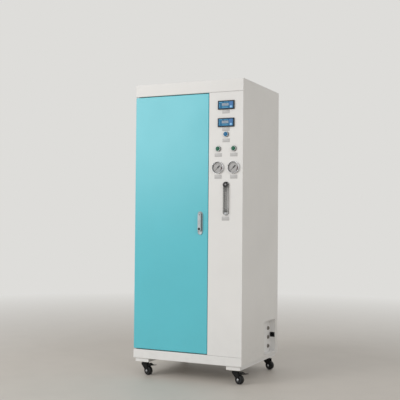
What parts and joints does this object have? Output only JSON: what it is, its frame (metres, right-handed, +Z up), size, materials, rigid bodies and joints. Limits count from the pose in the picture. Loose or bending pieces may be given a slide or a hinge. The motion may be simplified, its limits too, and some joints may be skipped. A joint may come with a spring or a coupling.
{
  "type": "water purifier",
  "caption": "Floor-standing water purifier cabinet on swivel casters, with a lockable hinged door, panel meters, pushbuttons, dial gauges and a float flow meter, and filters inside.",
  "frame": {"origin": "on the floor under the middle of the bounding box", "axes": "+Z up, -Y out of the front with the door and the instruments, +X to the right seen from the front"},
  "size_m": [0.6862, 0.5868, 1.648],
  "materials": {
    "bay_white": "white powder coat",
    "bezel_chrome": "bright chrome plate",
    "blue_button_cap": "blue lens",
    "box_grey": "light grey",
    "cabinet_white": "satin white powder coat",
    "caster_black": "black paint",
    "door_teal": "semi-gloss teal paint",
    "float_steel": "turned steel",
    "flow_acrylic": "clear acrylic",
    "gauge_chrome": "chromed case with a white dial",
    "gauge_glass": "clear",
    "inlet_black": "black moulding",
    "key_black": "black",
    "left_green_button_cap": "green lens",
    "lock_chrome": "bright chrome plate",
    "meter_black": "black moulded case with a blue face",
    "meter_key_blue": "light blue key",
    "needle_black": "painted black",
    "pin_steel": "turned steel",
    "port_grey": "grey moulding",
    "prefilter_white": "pale moulding",
    "pump_grey": "grey painted casting",
    "right_green_button_cap": "green lens",
    "seal_rubber": "matt black sponge rubber",
    "side_white": "glossy off-white paint",
    "tank_blue": "blue glass-fibre tank",
    "tread_black": "black rubber tread on a black hub",
    "vessel_white": "white glass-fibre vessel",
    "zinc_plate": "zinc plated"
  },
  "bodies": {
    "cabinet": {"back_panel": "cabinet_white", "base_tray": "cabinet_white", "blue_button_bezel": "bezel_chrome", "booster_pump": "pump_grey", "connection_bay": "bay_white", "control_box": "box_grey", "drain_port": "port_grey", "feed_port": "port_grey", "filter_bracket": "zinc_plate", "first_prefilter": "prefilter_white", "first_resin_tank": "tank_blue", "flow_meter_body": "flow_acrylic", "instrument_panel": "cabinet_white", "left_caster_rail": "cabinet_white", "left_gauge": "gauge_chrome", "left_gauge_glass": "gauge_glass", "left_green_button_bezel": "bezel_chrome", "left_side_panel": "side_white", "lower_hinge_pin": "pin_steel", "lower_meter": "meter_black", "mains_inlet": "inlet_black", "membrane_vessel": "vessel_white", "mullion": "cabinet_white", "product_port": "port_grey", "right_caster_rail": "cabinet_white", "right_gauge": "gauge_chrome", "right_gauge_glass": "gauge_glass", "right_green_button_bezel": "bezel_chrome", "right_side_panel": "side_white", "second_prefilter": "prefilter_white", "second_resin_tank": "tank_blue", "third_prefilter": "prefilter_white", "top_cover": "cabinet_white", "upper_hinge_pin": "pin_steel", "upper_meter": "meter_black"},
    "door": {"door_panel": "door_teal", "door_seal": "seal_rubber", "lock_escutcheon": "lock_chrome"},
    "lock_spindle": {"lock_spindle": "lock_chrome"},
    "lock_lever": {"lock_lever": "lock_chrome"},
    "key_cylinder": {"key_cylinder": "key_black"},
    "upper_meter_key": {"upper_meter_key": "meter_key_blue"},
    "lower_meter_key": {"lower_meter_key": "meter_key_blue"},
    "blue_button": {"blue_button_cap": "blue_button_cap"},
    "left_green_button": {"left_green_button_cap": "left_green_button_cap"},
    "right_green_button": {"right_green_button_cap": "right_green_button_cap"},
    "left_needle": {"left_gauge_needle": "needle_black"},
    "right_needle": {"right_gauge_needle": "needle_black"},
    "flow_float": {"flow_meter_float": "float_steel"},
    "front_left_caster": {"front_left_fork": "caster_black"},
    "front_left_wheel": {"front_left_wheel": "tread_black"},
    "front_left_pedal": {"front_left_pedal": "caster_black"},
    "front_right_caster": {"front_right_fork": "caster_black"},
    "front_right_wheel": {"front_right_wheel": "tread_black"},
    "front_right_pedal": {"front_right_pedal": "caster_black"},
    "rear_left_caster": {"rear_left_fork": "caster_black"},
    "rear_left_wheel": {"rear_left_wheel": "tread_black"},
    "rear_right_caster": {"rear_right_fork": "caster_black"},
    "rear_right_wheel": {"rear_right_wheel": "tread_black"}
  },
  "joints": [
    {"name": "door_swing", "type": "hinge", "parent": "cabinet", "child": "door", "pos_m": [-0.33111, -0.26665, 0.873], "axis": [0, 0, -1], "range_deg": [0, 110]},
    {"name": "lock_turn", "type": "hinge", "parent": "door", "child": "lock_spindle", "pos_m": [0.06859, -0.27665, 0.91425], "axis": [0, 1, 0], "range_deg": [0, 90]},
    {"name": "lever_flip", "type": "hinge", "parent": "lock_spindle", "child": "lock_lever", "pos_m": [0.06859, -0.28805, 0.91425], "axis": [-1, 0, 0], "range_deg": [0, 50]},
    {"name": "key_turn", "type": "hinge", "parent": "lock_lever", "child": "key_cylinder", "pos_m": [0.06859, -0.28805, 0.83225], "axis": [0, 1, 0], "range_deg": [0, 90]},
    {"name": "upper_meter_key_press", "type": "slide", "parent": "cabinet", "child": "upper_meter_key", "axis": [0, 1, 0], "range_m": [0, 0.0008], "stiffness_N_per_m": 400, "springref_m": -0.0005},
    {"name": "lower_meter_key_press", "type": "slide", "parent": "cabinet", "child": "lower_meter_key", "axis": [0, 1, 0], "range_m": [0, 0.0008], "stiffness_N_per_m": 400, "springref_m": -0.0005},
    {"name": "blue_button_press", "type": "slide", "parent": "cabinet", "child": "blue_button", "axis": [0, 1, 0], "range_m": [0, 0.0035], "stiffness_N_per_m": 400, "springref_m": -0.002},
    {"name": "left_green_button_press", "type": "slide", "parent": "cabinet", "child": "left_green_button", "axis": [0, 1, 0], "range_m": [0, 0.0035], "stiffness_N_per_m": 400, "springref_m": -0.002},
    {"name": "right_green_button_press", "type": "slide", "parent": "cabinet", "child": "right_green_button", "axis": [0, 1, 0], "range_m": [0, 0.0035], "stiffness_N_per_m": 400, "springref_m": -0.002},
    {"name": "left_needle_turn", "type": "hinge", "parent": "cabinet", "child": "left_needle", "pos_m": [0.17239, -0.28095, 1.1665], "axis": [0, 1, 0], "range_deg": [0, 270], "stiffness_Nm_per_rad": 0.0002, "springref_deg": -17.19},
    {"name": "right_needle_turn", "type": "hinge", "parent": "cabinet", "child": "right_needle", "pos_m": [0.26439, -0.28095, 1.1665], "axis": [0, 1, 0], "range_deg": [0, 270], "stiffness_Nm_per_rad": 0.0002, "springref_deg": -17.19},
    {"name": "float_rise", "type": "slide", "parent": "cabinet", "child": "flow_float", "axis": [0, 0, 1], "range_m": [0, 0.108]},
    {"name": "front_left_swivel", "type": "hinge", "parent": "cabinet", "child": "front_left_caster", "pos_m": [-0.29211, -0.22865, 0.077], "axis": [0, 0, 1], "continuous": true},
    {"name": "front_left_roll", "type": "hinge", "parent": "front_left_caster", "child": "front_left_wheel", "pos_m": [-0.26796, -0.23512, 0.025], "axis": [0.2588, 0.9659, 0], "continuous": true},
    {"name": "front_left_brake", "type": "hinge", "parent": "front_left_caster", "child": "front_left_pedal", "pos_m": [-0.27955, -0.23201, 0.0574], "axis": [0.2588, 0.9659, 0], "range_deg": [0, 10]},
    {"name": "front_right_swivel", "type": "hinge", "parent": "cabinet", "child": "front_right_caster", "pos_m": [0.26589, -0.22865, 0.077], "axis": [0, 0, 1], "continuous": true},
    {"name": "front_right_roll", "type": "hinge", "parent": "front_right_caster", "child": "front_right_wheel", "pos_m": [0.29004, -0.23512, 0.025], "axis": [0.2588, 0.9659, 0], "continuous": true},
    {"name": "front_right_brake", "type": "hinge", "parent": "front_right_caster", "child": "front_right_pedal", "pos_m": [0.27844, -0.23201, 0.0574], "axis": [0.2588, 0.9659, 0], "range_deg": [0, 10]},
    {"name": "rear_left_swivel", "type": "hinge", "parent": "cabinet", "child": "rear_left_caster", "pos_m": [-0.29211, 0.24535, 0.077], "axis": [0, 0, 1], "continuous": true},
    {"name": "rear_left_roll", "type": "hinge", "parent": "rear_left_caster", "child": "rear_left_wheel", "pos_m": [-0.26796, 0.23888, 0.025], "axis": [0.2588, 0.9659, 0], "continuous": true},
    {"name": "rear_right_swivel", "type": "hinge", "parent": "cabinet", "child": "rear_right_caster", "pos_m": [0.26589, 0.24535, 0.077], "axis": [0, 0, 1], "continuous": true},
    {"name": "rear_right_roll", "type": "hinge", "parent": "rear_right_caster", "child": "rear_right_wheel", "pos_m": [0.29004, 0.23888, 0.025], "axis": [0.2588, 0.9659, 0], "continuous": true}
  ]
}
